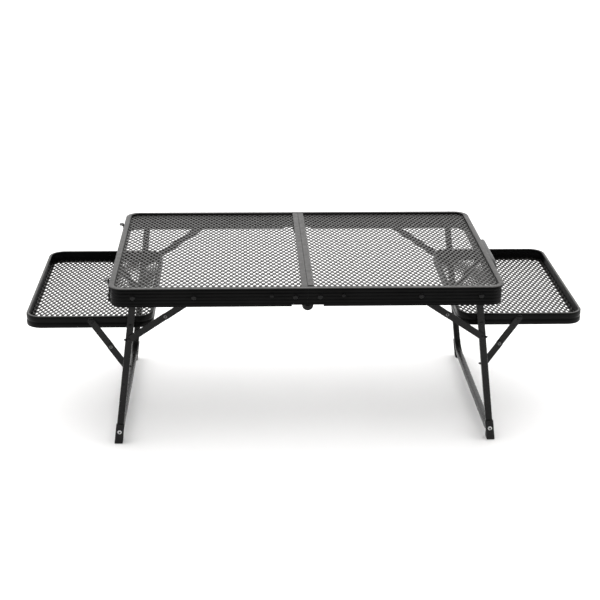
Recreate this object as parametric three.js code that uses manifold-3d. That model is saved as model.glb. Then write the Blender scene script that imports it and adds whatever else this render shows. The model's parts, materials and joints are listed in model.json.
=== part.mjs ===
// Folding camping table with a two-part mesh top and a drop-down mesh tray at each end.
// Millimetres, +X to the right, +Y to the back, +Z up, origin on the floor below the middle.
// Both ends are alike: each is drawn as the right-hand end, and the left is turned half round.
import * as THREE from 'three';
import { mergeVertices } from 'three/addons/utils/BufferGeometryUtils.js';
import Module from 'manifold-3d';

const wasm = await Module();
wasm.setup();

// ---------- driving dimensions ----------
const GAP = 0.3;

const TOP_HEIGHT = 400;
const TOP_HALF_LENGTH = 450;
const TOP_HALF_DEPTH = 300;
const TOP_CORNER_RADIUS = 35;
const FRAME_HEIGHT = 45;
const FRAME_LIP_WIDTH = 14;
const FRAME_LIP_THICKNESS = 3;
const FRAME_LIP_OVERHANG = 5;
const FRAME_WALL = 3;
const FRAME_FOOT_WIDTH = 4.5;
const FRAME_FOOT_THICKNESS = 2.5;
const RIB_COUNT = 5;
const RIB_GROOVE_WIDTH = 2.4;
const RIB_GROOVE_DEPTH = 1.2;

const MESH_THICKNESS = 0.8;
const MESH_UNDER_LIP = 5.5;
const CENTRE_BAR_WIDTH = 14;
const CENTRE_BAR_THICKNESS = 3;
const CENTRE_BAR_WEB_HEIGHT = 10;

const HINGE_AXIS_Z = 353.7;
const HINGE_LEAF_THICKNESS = 2;
const HINGE_LEAF_REACH = 40;
const HINGE_LEAF_TOP_Z = 390;
const HINGE_EYE_RADIUS = 8;
const HINGE_PIN_RADIUS = 3.2;
const HINGE_HEAD_RADIUS = 5;
const HINGE_NOTCH_HALF_WIDTH = 36;
const HINGE_NOTCH_HEIGHT = 4;
const HINGE_RIVET_X = 28;

const LEG_PIVOT_X = 394;
const LEG_PIVOT_Z = 378;
const LEG_FOOT_X = 442;
const LEG_HALF_SPREAD = 253.5;
const LEG_TUBE = 16;
const LEG_TUBE_RADIUS = 3.5;
const LEG_TUBE_WALL = 1.4;
const LEG_TOP_OVERHANG = 8;
const LEG_BEND_RADIUS = 40;
const GROUND_RUN_Z = 20;

const PAD_HEIGHT = 50;
const PAD_WIDTH = 19;
const PAD_FRONT_WALL = 2.5;
const PAD_SOLE_LENGTH = 23.5;

const TRAY_PIVOT_DISTANCE = 81.5;
const TRAY_INNER_X = 354;
const TRAY_OUTER_X = 647;
const TRAY_HALF_DEPTH = 241;
const TRAY_BOTTOM_Z = 285.5;
const TRAY_RIM_HEIGHT = 27.5;
const TRAY_CORNER_RADIUS = 38;
const TRAY_WALL = 3.2;
const TRAY_LIP_WIDTH = 7;
const TRAY_LEDGE_WIDTH = 12;
const TRAY_SHEET = 1.7;
const TRAY_GROOVE_DEPTH = 1.4;
const TRAY_GROOVE_LOW = 11;
const TRAY_GROOVE_HIGH = 15;

const LINK_WIDTH = 16;
const LINK_THICKNESS = 2;
const RIVET_RADIUS = 2.6;
const RIVET_HEAD_RADIUS = 4.6;
const RIVET_HEAD_HEIGHT = 1.4;
const HOLE_CLEARANCE = 0.3;
const FRAME_BRACE_TOP = [257, 366];
const FRAME_BRACE_RIVET_Z = 378;
const FRAME_BRACE_KNEE = [323.19, 321.48];
const FRAME_BRACE_DISTANCE = 114.8;
const TRAY_LINK_THICKNESS = 1.8;
const TRAY_BRACE_TOP = [495, 303];
const TRAY_BRACE_KNEE = [451.81, 239.73];
const TRAY_BRACE_DISTANCE = 189.5;

const FRAME_BOLT_HEAD_RADIUS = 6.4;
const FRAME_BOLT_HEAD_HEIGHT = 2;
const LEG_PIN_RADIUS = 3.9;
const LEG_COLLAR_RADIUS = 7;
const TRAY_PIN_RADIUS = 3;
const TRAY_PIN_HEAD_RADIUS = 5;

const HANDLE_HALF_LENGTH = 92;
const HANDLE_PIVOT = [460.5, 366];
const HANDLE_GRIP = [457.4, 386];
const HANDLE_SECTION = 12;
const HANDLE_LUG_THICKNESS = 6;
const HANDLE_LUG_HEIGHT = 18;

const LATCH_Y = 215;
const LATCH_WIDTH = 24;
const LATCH_PIVOT_Z = 372;
const LATCH_PIN_RADIUS = 1.8;
const LATCH_NOSE_DEPTH = 26.9;
const CATCH_LIP_Z = 361.4;

// ---------- derived positions ----------
const FRAME_BOTTOM_Z = TOP_HEIGHT - FRAME_HEIGHT;
const LIP_UNDERSIDE_Z = TOP_HEIGHT - FRAME_LIP_THICKNESS;
const SPLAY = Math.atan((LEG_FOOT_X - LEG_PIVOT_X) / LEG_PIVOT_Z);
const LEG_OUTER_Y = LEG_HALF_SPREAD + LEG_TUBE / 2;
const LEG_INNER_Y = LEG_HALF_SPREAD - LEG_TUBE / 2;
const LOWER_LINK_Y = [LEG_OUTER_Y + GAP, LEG_OUTER_Y + GAP + LINK_THICKNESS];
const UPPER_LINK_Y = [LOWER_LINK_Y[1] + GAP, LOWER_LINK_Y[1] + GAP + LINK_THICKNESS];
const TRAY_LINK_Y = [TRAY_HALF_DEPTH + GAP, TRAY_HALF_DEPTH + GAP + TRAY_LINK_THICKNESS];
const LEG_LINK_Y = [TRAY_LINK_Y[1] + GAP, TRAY_LINK_Y[1] + GAP + TRAY_LINK_THICKNESS];
const FRAME_FACE_X = TOP_HALF_LENGTH - FRAME_LIP_OVERHANG;
const FRAME_FACE_Y = TOP_HALF_DEPTH - FRAME_LIP_OVERHANG;
const FRAME_INNER_Y = FRAME_FACE_Y - FRAME_WALL;

const onLeg = (distance) => [
  LEG_PIVOT_X + distance * Math.sin(SPLAY),
  LEG_PIVOT_Z - distance * Math.cos(SPLAY),
];
const TRAY_PIVOT = onLeg(TRAY_PIVOT_DISTANCE);
const FRAME_BRACE_FOOT = onLeg(FRAME_BRACE_DISTANCE);
const TRAY_BRACE_FOOT = onLeg(TRAY_BRACE_DISTANCE);

// ---------- materials ----------
const finish = (color, roughness, metalness) =>
  new THREE.MeshStandardMaterial({ color, roughness, metalness });
const finishes = {
  black_aluminium: finish(0x1b1b1c, 0.5, 0.55),
  black_steel: finish(0x222221, 0.45, 0.5),
  mesh_steel: finish(0x5f5b57, 0.5, 0.6),
  black_plastic: finish(0x161616, 0.75, 0),
  bright_steel: finish(0xb9b9b7, 0.3, 0.95),
};

// ---------- solids ----------
function solid(geometry) {
  const bare = geometry.clone();
  bare.deleteAttribute('normal');
  bare.deleteAttribute('uv');
  const merged = mergeVertices(bare, 1e-5);
  return new wasm.Manifold(new wasm.Mesh({
    numProp: 3,
    vertProperties: new Float32Array(merged.attributes.position.array),
    triVerts: new Uint32Array(merged.index.array),
  }));
}

function geometryOf(manifold) {
  const { vertProperties, triVerts, numProp } = manifold.getMesh();
  const positions = new Float32Array(triVerts.length * 3);
  triVerts.forEach((vertex, i) => {
    for (let axis = 0; axis < 3; axis += 1) {
      positions[3 * i + axis] = vertProperties[vertex * numProp + axis];
    }
  });
  const geometry = new THREE.BufferGeometry();
  geometry.setAttribute('position', new THREE.BufferAttribute(positions, 3));
  geometry.computeVertexNormals();
  return geometry;
}

const join = (pieces) => pieces.reduce((whole, piece) => whole.add(piece));
const cut = (body, tools) => tools.reduce((left, tool) => left.subtract(tool), body);

function boxSolid([x0, x1], [y0, y1], [z0, z1]) {
  const geometry = new THREE.BoxGeometry(x1 - x0, y1 - y0, z1 - z0);
  geometry.translate((x0 + x1) / 2, (y0 + y1) / 2, (z0 + z1) / 2);
  return solid(geometry);
}

// A cylinder along Y, centred on [x, z].
function barAlongY([x, z], radius, [y0, y1], segments = 14) {
  const geometry = new THREE.CylinderGeometry(radius, radius, Math.abs(y1 - y0), segments);
  geometry.translate(x, (y0 + y1) / 2, z);
  return solid(geometry);
}

// An outline in X and Z, given thickness along Y.
function plateAlongY(shape, [y0, y1]) {
  const low = Math.min(y0, y1);
  const high = Math.max(y0, y1);
  const geometry = new THREE.ExtrudeGeometry(shape, {
    depth: high - low, bevelEnabled: false,
  });
  geometry.rotateX(Math.PI / 2);
  geometry.translate(0, high, 0);
  return solid(geometry);
}

function polygon(points) {
  return new THREE.Shape(points.map(([x, y]) => new THREE.Vector2(x, y)));
}

function roundedRectangle(x0, x1, y0, y1, radius, segments = 5) {
  const points = [];
  const corners = [
    [x1 - radius, y1 - radius, 0], [x0 + radius, y1 - radius, 1],
    [x0 + radius, y0 + radius, 2], [x1 - radius, y0 + radius, 3],
  ];
  for (const [x, y, quarter] of corners) {
    for (let i = 0; i <= segments; i += 1) {
      const angle = (quarter + i / segments) * Math.PI / 2;
      points.push([x + radius * Math.cos(angle), y + radius * Math.sin(angle)]);
    }
  }
  return points;
}

// A flat bar with round ends between two points in X and Z.
function linkShape([ax, az], [bx, bz], width) {
  const radius = width / 2;
  const heading = Math.atan2(bz - az, bx - ax);
  const points = [];
  for (const [x, z, start] of [[bx, bz, -0.5], [ax, az, 0.5]]) {
    for (let i = 0; i <= 6; i += 1) {
      const angle = heading + (start + i / 6) * Math.PI;
      points.push([x + radius * Math.cos(angle), z + radius * Math.sin(angle)]);
    }
  }
  return polygon(points);
}

// One level of a rounded ring, seen from above.
function ring({ x0, x1, halfDepth, radius }, inset, width, [z0, z1]) {
  const outline = (offset) => roundedRectangle(
    x0 + offset, x1 - offset, -halfDepth + offset, halfDepth - offset, radius - offset,
  );
  const shape = polygon(outline(inset));
  if (width > 0) {
    shape.holes.push(polygon(outline(inset + width).reverse()));
  }
  const geometry = new THREE.ExtrudeGeometry(shape, { depth: z1 - z0, bevelEnabled: false });
  geometry.translate(0, 0, z0);
  return solid(geometry);
}

// A path through fixed points in the YZ plane, with sections set square to each bend.
class BentPath extends THREE.Curve {
  constructor(points) {
    super();
    this.points = points.map(([y, z]) => new THREE.Vector3(0, y, z));
  }

  getSpacedPoints() {
    return this.points;
  }

  computeFrenetFrames() {
    const across = new THREE.Vector3(1, 0, 0);
    const frames = { tangents: [], normals: [], binormals: [] };
    this.points.forEach((point, i) => {
      const before = this.points[Math.max(i - 1, 0)];
      const after = this.points[Math.min(i + 1, this.points.length - 1)];
      const into = point.clone().sub(i ? before : point.clone().multiplyScalar(2).sub(after));
      const out = i < this.points.length - 1 ? after.clone().sub(point) : into.clone();
      const tangent = into.normalize().clone().add(out.normalize()).normalize();
      frames.tangents.push(tangent);
      frames.normals.push(across.clone());
      frames.binormals.push(tangent.clone().cross(across).divideScalar(tangent.dot(out)));
    });
    return frames;
  }
}

function bentBar(points, shape) {
  const path = new BentPath(points);
  return solid(new THREE.ExtrudeGeometry(shape, {
    steps: points.length - 1, bevelEnabled: false, extrudePath: path,
  }));
}

// Down from one end, round two bends, along the middle and up to the other end.
function uPath(halfSpread, endZ, runZ, radius, segments = 4) {
  const side = Math.sign(endZ - runZ);
  const points = [[halfSpread, endZ]];
  for (let i = 0; i <= segments; i += 1) {
    const angle = i / segments * Math.PI / 2;
    points.push([
      halfSpread - radius * (1 - Math.cos(angle)),
      runZ + side * radius * (1 - Math.sin(angle)),
    ]);
  }
  const mirrored = points.map(([y, z]) => [-y, z]).reverse();
  return [...points, ...mirrored];
}

function squareSection(size, radius, hollow) {
  const half = size / 2;
  const shape = polygon(roundedRectangle(-half, half, -half, half, radius, 2));
  if (hollow) {
    const inner = half - hollow;
    shape.holes.push(
      polygon(roundedRectangle(-inner, inner, -inner, inner, radius - hollow, 2).reverse()),
    );
  }
  return shape;
}

// ---------- frame half ----------
function frameRail() {
  const outline = {
    x0: -TOP_HALF_LENGTH, x1: TOP_HALF_LENGTH,
    halfDepth: TOP_HALF_DEPTH, radius: TOP_CORNER_RADIUS,
  };
  const wallLow = FRAME_BOTTOM_Z + FRAME_FOOT_THICKNESS;
  const levels = [
    ring(outline, FRAME_LIP_OVERHANG, FRAME_FOOT_WIDTH, [FRAME_BOTTOM_Z, wallLow]),
    ring(outline, 0, FRAME_LIP_WIDTH, [LIP_UNDERSIDE_Z, TOP_HEIGHT - 1]),
    ring(outline, 0.8, FRAME_LIP_WIDTH - 0.8, [TOP_HEIGHT - 1, TOP_HEIGHT]),
  ];
  const pitch = (LIP_UNDERSIDE_Z - wallLow) / RIB_COUNT;
  for (let i = 0; i < RIB_COUNT; i += 1) {
    const low = wallLow + i * pitch;
    const grooveLow = low + pitch - RIB_GROOVE_WIDTH;
    levels.push(ring(outline, FRAME_LIP_OVERHANG, FRAME_WALL, [low, grooveLow]));
    levels.push(ring(
      outline, FRAME_LIP_OVERHANG + RIB_GROOVE_DEPTH, FRAME_WALL - RIB_GROOVE_DEPTH,
      [grooveLow, low + pitch],
    ));
  }
  const tools = [
    boxSolid([-500, GAP], [-400, 400], [FRAME_BOTTOM_Z - 5, TOP_HEIGHT + 5]),
    boxSolid([0, HINGE_NOTCH_HALF_WIDTH], [-400, 400],
      [FRAME_BOTTOM_Z - 1, FRAME_BOTTOM_Z + HINGE_NOTCH_HEIGHT]),
  ];
  const boltHole = RIVET_RADIUS + HOLE_CLEARANCE;
  for (const side of [-1, 1]) {
    const through = [side * (TOP_HALF_DEPTH - 20), side * (TOP_HALF_DEPTH + 5)];
    tools.push(barAlongY([LEG_PIVOT_X, LEG_PIVOT_Z], boltHole, through));
    tools.push(barAlongY([FRAME_BRACE_TOP[0], FRAME_BRACE_RIVET_Z], boltHole, through));
    tools.push(barAlongY([HINGE_RIVET_X, LEG_PIVOT_Z], boltHole, through));
  }
  return cut(join(levels), tools);
}

function topMesh() {
  const inset = FRAME_LIP_WIDTH - MESH_UNDER_LIP;
  const sheet = ring({
    x0: -TOP_HALF_LENGTH, x1: TOP_HALF_LENGTH,
    halfDepth: TOP_HALF_DEPTH, radius: TOP_CORNER_RADIUS,
  }, inset, 0, [LIP_UNDERSIDE_Z - GAP - MESH_THICKNESS, LIP_UNDERSIDE_Z - GAP]);
  const inner = CENTRE_BAR_THICKNESS + 2 * GAP;
  return cut(sheet, [boxSolid([-500, inner], [-400, 400], [300, 500])]);
}

function centreBar() {
  const reach = TOP_HALF_DEPTH - FRAME_LIP_WIDTH - GAP;
  const flange = boxSolid([GAP, CENTRE_BAR_WIDTH], [-reach, reach],
    [LIP_UNDERSIDE_Z, TOP_HEIGHT]);
  const web = boxSolid([GAP, CENTRE_BAR_THICKNESS + GAP], [-reach, reach],
    [LIP_UNDERSIDE_Z - CENTRE_BAR_WEB_HEIGHT, LIP_UNDERSIDE_Z]);
  return flange.add(web);
}

// layer 0 lies against the frame wall, layer 1 behind it
function hingeLeaf(side, layer) {
  const near = FRAME_INNER_Y - GAP - layer * (HINGE_LEAF_THICKNESS + GAP);
  const span = [side * near, side * (near - HINGE_LEAF_THICKNESS)];
  const axis = [0, HINGE_AXIS_Z];
  const eyeTop = FRAME_BOTTOM_Z + HINGE_NOTCH_HEIGHT + 3;
  const plate = plateAlongY(polygon([
    [2.5, eyeTop], [HINGE_LEAF_REACH, eyeTop],
    [HINGE_LEAF_REACH, HINGE_LEAF_TOP_Z], [2.5, HINGE_LEAF_TOP_Z],
  ]), span);
  const neck = plateAlongY(polygon([
    [0, HINGE_AXIS_Z - 6], [8, HINGE_AXIS_Z - 2], [13, FRAME_BOTTOM_Z + 2],
    [15, eyeTop + 1], [2.5, eyeTop + 1], [0, eyeTop - 4],
  ]), span);
  const eye = barAlongY(axis, HINGE_EYE_RADIUS, span, 20);
  const pieces = [plate, neck, eye];
  const outer = side * (FRAME_FACE_Y + GAP);
  const rivet = [HINGE_RIVET_X, LEG_PIVOT_Z];
  pieces.push(barAlongY(rivet, RIVET_RADIUS, [span[0], outer]));
  pieces.push(barAlongY(rivet, FRAME_BOLT_HEAD_RADIUS,
    [outer, outer + side * FRAME_BOLT_HEAD_HEIGHT]));
  const bore = barAlongY(axis, HINGE_PIN_RADIUS + HOLE_CLEARANCE,
    [side * (near + 5), side * (near - 9)], 16);
  return cut(join(pieces), [bore]);
}

function hingePin(side) {
  const near = FRAME_INNER_Y;
  const far = near - 2 * (HINGE_LEAF_THICKNESS + GAP) - GAP;
  const axis = [0, HINGE_AXIS_Z];
  return join([
    barAlongY(axis, HINGE_PIN_RADIUS, [side * (near + 1), side * (far - 1)], 16),
    barAlongY(axis, HINGE_HEAD_RADIUS, [side * near, side * (near + 2)], 16),
    barAlongY(axis, HINGE_HEAD_RADIUS, [side * far, side * (far - 2)], 16),
  ]);
}

function legBolt(side) {
  const outer = FRAME_FACE_Y + GAP;
  const axis = [LEG_PIVOT_X, LEG_PIVOT_Z];
  return join([
    barAlongY(axis, FRAME_BOLT_HEAD_RADIUS,
      [side * outer, side * (outer + FRAME_BOLT_HEAD_HEIGHT)]),
    barAlongY(axis, RIVET_RADIUS, [side * outer, side * (FRAME_INNER_Y - 5)]),
    barAlongY(axis, LEG_COLLAR_RADIUS,
      [side * (FRAME_INNER_Y - GAP), side * (LEG_OUTER_Y + GAP)]),
    barAlongY(axis, LEG_PIN_RADIUS, [side * (LEG_OUTER_Y + 5), side * (LEG_INNER_Y - 1.5)]),
  ]);
}

function braceBracket(side) {
  const outer = FRAME_FACE_Y + GAP;
  const [x, z] = FRAME_BRACE_TOP;
  const inner = FRAME_INNER_Y - GAP;
  const plate = plateAlongY(linkShape([x, z], [x, FRAME_BRACE_RIVET_Z], 14),
    [side * inner, side * (inner - 3)]);
  return join([
    barAlongY([x, FRAME_BRACE_RIVET_Z], FRAME_BOLT_HEAD_RADIUS,
      [side * outer, side * (outer + FRAME_BOLT_HEAD_HEIGHT)]),
    barAlongY([x, FRAME_BRACE_RIVET_Z], RIVET_RADIUS, [side * outer, side * (inner - 1)]),
    plate,
    barAlongY([x, z], 6, [side * (inner - 2), side * (UPPER_LINK_Y[1] + GAP)]),
    barAlongY([x, z], RIVET_RADIUS, [side * (inner - 5), side * (UPPER_LINK_Y[0] - 0.1)]),
  ]);
}

// ---------- legs ----------
// Drawn upright about the leg pivot, then leaned out by the splay.
const intoLeg = ([x, z]) => {
  const dx = x - LEG_PIVOT_X;
  const dz = z - LEG_PIVOT_Z;
  return [
    dx * Math.cos(SPLAY) + dz * Math.sin(SPLAY),
    -dx * Math.sin(SPLAY) + dz * Math.cos(SPLAY),
  ];
};
const RUN_LOCAL_Z = -(LEG_PIVOT_Z - GROUND_RUN_Z) / Math.cos(SPLAY);

function legTube(size, radius, hollow) {
  const points = uPath(LEG_HALF_SPREAD, LEG_TOP_OVERHANG, RUN_LOCAL_Z, LEG_BEND_RADIUS);
  return bentBar(points, squareSection(size, radius, hollow));
}

function leg() {
  const tools = [];
  const holes = [
    [[LEG_PIVOT_X, LEG_PIVOT_Z], LEG_PIN_RADIUS, 20],
    [TRAY_PIVOT, TRAY_PIN_RADIUS, 20],
  ];
  for (const side of [-1, 1]) {
    for (const [at, radius, reach] of holes) {
      tools.push(barAlongY(intoLeg(at), radius + HOLE_CLEARANCE,
        [side * (LEG_HALF_SPREAD - reach), side * (LEG_HALF_SPREAD + reach)]));
    }
    tools.push(barAlongY(intoLeg(FRAME_BRACE_FOOT), RIVET_RADIUS + HOLE_CLEARANCE,
      [side * LEG_HALF_SPREAD, side * (LEG_OUTER_Y + 5)]));
    tools.push(barAlongY(intoLeg(TRAY_BRACE_FOOT), RIVET_RADIUS + HOLE_CLEARANCE,
      [side * LEG_HALF_SPREAD, side * (LEG_INNER_Y - 5)]));
  }
  return cut(legTube(LEG_TUBE, LEG_TUBE_RADIUS, LEG_TUBE_WALL), tools);
}

function footPad(side) {
  const floor = -LEG_PIVOT_Z / Math.cos(SPLAY);
  const front = LEG_OUTER_Y + PAD_FRONT_WALL;
  const low = floor - 10;
  const outline = [
    [front, floor + PAD_HEIGHT], [LEG_HALF_SPREAD + 1, floor + PAD_HEIGHT],
    [LEG_HALF_SPREAD + 1, floor + 24], [front - PAD_SOLE_LENGTH, floor + 9],
    [front - PAD_SOLE_LENGTH, low], [front, low],
  ];
  const geometry = new THREE.ExtrudeGeometry(polygon(outline), {
    depth: PAD_WIDTH, bevelEnabled: false,
  });
  geometry.rotateX(Math.PI / 2);
  geometry.rotateZ(Math.PI / 2);
  geometry.translate(-PAD_WIDTH / 2, 0, 0);
  if (side < 0) {
    geometry.rotateZ(Math.PI);
  }
  const ground = new THREE.BoxGeometry(200, 800, 100);
  ground.translate(LEG_FOOT_X - LEG_PIVOT_X, 0, -LEG_PIVOT_Z - 50);
  ground.rotateY(SPLAY);
  return cut(solid(geometry), [
    solid(ground), legTube(LEG_TUBE + 2 * GAP, LEG_TUBE_RADIUS + GAP, 0),
  ]);
}

// ---------- knee braces ----------
const holeAt = (at, radius, [y0, y1]) =>
  barAlongY(at, radius + HOLE_CLEARANCE, [y0 - Math.sign(y0), y1 + Math.sign(y1)]);

function frameBraceUpper(side) {
  const span = UPPER_LINK_Y.map((y) => side * y);
  const bar = plateAlongY(linkShape(FRAME_BRACE_TOP, FRAME_BRACE_KNEE, LINK_WIDTH), span);
  const head = barAlongY(FRAME_BRACE_KNEE, RIVET_HEAD_RADIUS,
    [side * (UPPER_LINK_Y[1] - 1), side * (UPPER_LINK_Y[1] + RIVET_HEAD_HEIGHT)]);
  return cut(bar.add(head), [holeAt(FRAME_BRACE_TOP, RIVET_RADIUS, span)]);
}

function frameBraceLower(side) {
  const span = LOWER_LINK_Y.map((y) => side * y);
  const bar = plateAlongY(linkShape(FRAME_BRACE_KNEE, FRAME_BRACE_FOOT, LINK_WIDTH), span);
  const stud = barAlongY(FRAME_BRACE_FOOT, RIVET_RADIUS,
    [side * (LOWER_LINK_Y[0] + 1), side * (LEG_HALF_SPREAD + 2)]);
  const head = barAlongY(FRAME_BRACE_FOOT, RIVET_HEAD_RADIUS,
    [side * (LOWER_LINK_Y[1] - 1), side * (LOWER_LINK_Y[1] + RIVET_HEAD_HEIGHT)]);
  return cut(join([bar, stud, head]), [holeAt(FRAME_BRACE_KNEE, RIVET_RADIUS, span)]);
}

function trayBraceUpper(side) {
  const span = TRAY_LINK_Y.map((y) => side * y);
  const bar = plateAlongY(linkShape(TRAY_BRACE_TOP, TRAY_BRACE_KNEE, LINK_WIDTH), span);
  const stud = barAlongY(TRAY_BRACE_TOP, RIVET_RADIUS,
    [side * (TRAY_LINK_Y[0] + 1), side * (TRAY_HALF_DEPTH - TRAY_WALL - 1.5)]);
  return cut(bar.add(stud), [holeAt(TRAY_BRACE_KNEE, RIVET_RADIUS, span)]);
}

function trayBraceLower(side) {
  const span = LEG_LINK_Y.map((y) => side * y);
  const bar = plateAlongY(linkShape(TRAY_BRACE_KNEE, TRAY_BRACE_FOOT, LINK_WIDTH), span);
  const stud = barAlongY(TRAY_BRACE_FOOT, RIVET_RADIUS,
    [side * (LEG_LINK_Y[0] + 1), side * (LEG_HALF_SPREAD - 2)]);
  return cut(bar.add(stud), [holeAt(TRAY_BRACE_KNEE, RIVET_RADIUS, span)]);
}

// ---------- trays ----------
const TRAY_OUTLINE = {
  x0: TRAY_INNER_X, x1: TRAY_OUTER_X, halfDepth: TRAY_HALF_DEPTH, radius: TRAY_CORNER_RADIUS,
};

function trayRim() {
  const at = (low, high) => [TRAY_BOTTOM_Z + low, TRAY_BOTTOM_Z + high];
  const lipLow = TRAY_RIM_HEIGHT - TRAY_SHEET;
  const rim = join([
    ring(TRAY_OUTLINE, 0, TRAY_LEDGE_WIDTH, at(0, TRAY_SHEET)),
    ring(TRAY_OUTLINE, 0, TRAY_WALL, at(TRAY_SHEET, TRAY_GROOVE_LOW)),
    ring(TRAY_OUTLINE, TRAY_GROOVE_DEPTH, TRAY_WALL - TRAY_GROOVE_DEPTH,
      at(TRAY_GROOVE_LOW, TRAY_GROOVE_HIGH)),
    ring(TRAY_OUTLINE, 0, TRAY_WALL, at(TRAY_GROOVE_HIGH, lipLow)),
    ring(TRAY_OUTLINE, 0, TRAY_LIP_WIDTH, at(lipLow, TRAY_RIM_HEIGHT)),
  ]);
  const tools = [];
  for (const side of [-1, 1]) {
    const through = [side * (TRAY_HALF_DEPTH - 12), side * (TRAY_HALF_DEPTH + 5)];
    tools.push(barAlongY(TRAY_PIVOT, TRAY_PIN_RADIUS + HOLE_CLEARANCE, through));
    tools.push(barAlongY(TRAY_BRACE_TOP, RIVET_RADIUS + HOLE_CLEARANCE, through));
  }
  return cut(rim, tools);
}

function trayMesh() {
  const low = TRAY_BOTTOM_Z + TRAY_SHEET + GAP;
  return ring(TRAY_OUTLINE, TRAY_WALL + GAP, 0, [low, low + MESH_THICKNESS]);
}

function trayPin(side) {
  return join([
    barAlongY(TRAY_PIVOT, TRAY_PIN_RADIUS,
      [side * (LEG_OUTER_Y + 1), side * (TRAY_HALF_DEPTH - TRAY_WALL - 2)]),
    barAlongY(TRAY_PIVOT, TRAY_PIN_HEAD_RADIUS,
      [side * (LEG_OUTER_Y + GAP), side * (LEG_OUTER_Y + GAP + 1.6)]),
  ]);
}

// ---------- carry handle on the right-hand end ----------
function handle() {
  const [gripX, gripZ] = HANDLE_GRIP;
  const [pivotX, pivotZ] = HANDLE_PIVOT;
  const rise = Math.hypot(gripX - pivotX, gripZ - pivotZ);
  const points = uPath(HANDLE_HALF_LENGTH, 0, rise, 10, 3);
  const bar = bentBar([...points].reverse(), squareSection(HANDLE_SECTION, 4, 0));
  const pieces = [bar];
  for (const side of [-1, 1]) {
    pieces.push(barAlongY([0, 0], HANDLE_SECTION / 2,
      [side * (HANDLE_HALF_LENGTH - 6), side * (HANDLE_HALF_LENGTH + 6)]));
    pieces.push(barAlongY([0, 0], 2.5,
      [side * HANDLE_HALF_LENGTH, side * (HANDLE_HALF_LENGTH + 6 + HANDLE_LUG_THICKNESS)]));
  }
  return join(pieces);
}

function handleLug(side) {
  const [x, z] = HANDLE_PIVOT;
  const near = HANDLE_HALF_LENGTH + HANDLE_SECTION / 2 + GAP;
  const half = HANDLE_LUG_HEIGHT / 2;
  const base = FRAME_FACE_X + GAP;
  const block = plateAlongY(polygon([
    [base, z - half], [x, z - 6], [x + 4.5, z - 4], [x + 6, z], [x + 4.5, z + 4],
    [x, z + 6], [base, z + half],
  ]), [side * near, side * (near + HANDLE_LUG_THICKNESS)]);
  const bore = barAlongY([x, z], 2.5 + HOLE_CLEARANCE,
    [side * (near - 2), side * (near + HANDLE_LUG_THICKNESS + 2)]);
  return cut(block, [bore]);
}

// ---------- latches that hold the folded table shut ----------
const LATCH_FACE = FRAME_FACE_X + GAP;
const LATCH_PIVOT = [LATCH_FACE + 5, LATCH_PIVOT_Z];

function latchPlate(side) {
  const half = LATCH_WIDTH / 2;
  const middle = side * LATCH_Y;
  const base = boxSolid([LATCH_FACE, LATCH_FACE + 1.6], [middle - half, middle + half],
    [LATCH_PIVOT_Z - 10, LATCH_PIVOT_Z + 14]);
  const pieces = [base];
  for (const end of [-1, 1]) {
    const y = [middle + end * (half - 3), middle + end * half];
    pieces.push(plateAlongY(polygon([
      [LATCH_FACE + 1, LATCH_PIVOT_Z - 6], [LATCH_PIVOT[0] + 2, LATCH_PIVOT_Z - 3.5],
      [LATCH_PIVOT[0] + 3.2, LATCH_PIVOT_Z], [LATCH_PIVOT[0] + 2, LATCH_PIVOT_Z + 3.5],
      [LATCH_FACE + 1, LATCH_PIVOT_Z + 6],
    ]), y));
  }
  const bore = barAlongY(LATCH_PIVOT, LATCH_PIN_RADIUS + HOLE_CLEARANCE,
    [middle - half - 2, middle + half + 2], 10);
  return cut(join(pieces), [bore]);
}

function latchLever(side) {
  const half = LATCH_WIDTH / 2;
  const middle = side * LATCH_Y;
  const [x, z] = LATCH_PIVOT;
  const nose = z - LATCH_NOSE_DEPTH;
  const body = plateAlongY(polygon([
    [x - 2, z - 3], [x - 0.2, z - 6], [x - 0.2, nose + 0.5], [x - 3, nose], [x - 3, nose - 2.7],
    [x + 3.4, nose - 2.4], [x + 6.4, nose + 1], [x + 4.6, z - 20], [x + 7, z - 14],
    [x + 3.6, z - 8], [x + 2.4, z + 3], [x + 4.5, z + 18], [x + 13, z + 20.5],
    [x + 13, z + 23.1], [x + 3, z + 22], [x - 1, z + 4],
  ]), [middle - half + 3 + GAP, middle + half - 3 - GAP]);
  const pin = barAlongY(LATCH_PIVOT, LATCH_PIN_RADIUS, [middle - half, middle + half], 10);
  return body.add(pin);
}

function latchCatch(side) {
  const middle = side * LATCH_Y;
  const half = LATCH_WIDTH / 2 - 3;
  const lip = CATCH_LIP_Z;
  return plateAlongY(polygon([
    [LATCH_FACE, lip - 3.6], [LATCH_FACE + 4.2, lip - 2.6], [LATCH_FACE + 4.2, lip],
    [LATCH_FACE + 1.5, lip], [LATCH_FACE + 1.5, lip + 24], [LATCH_FACE, lip + 24],
  ]), [middle - half, middle + half]);
}

// ---------- assembly ----------
const group = new THREE.Group();
group.name = 'folding_side_table';

function piece(parent, name, body, material) {
  const mesh = new THREE.Mesh(geometryOf(body), finishes[material].clone());
  mesh.name = name;
  mesh.material.name = material;
  parent.add(mesh);
  return mesh;
}

const placeName = { '-1': 'front', 1: 'back' };

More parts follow.
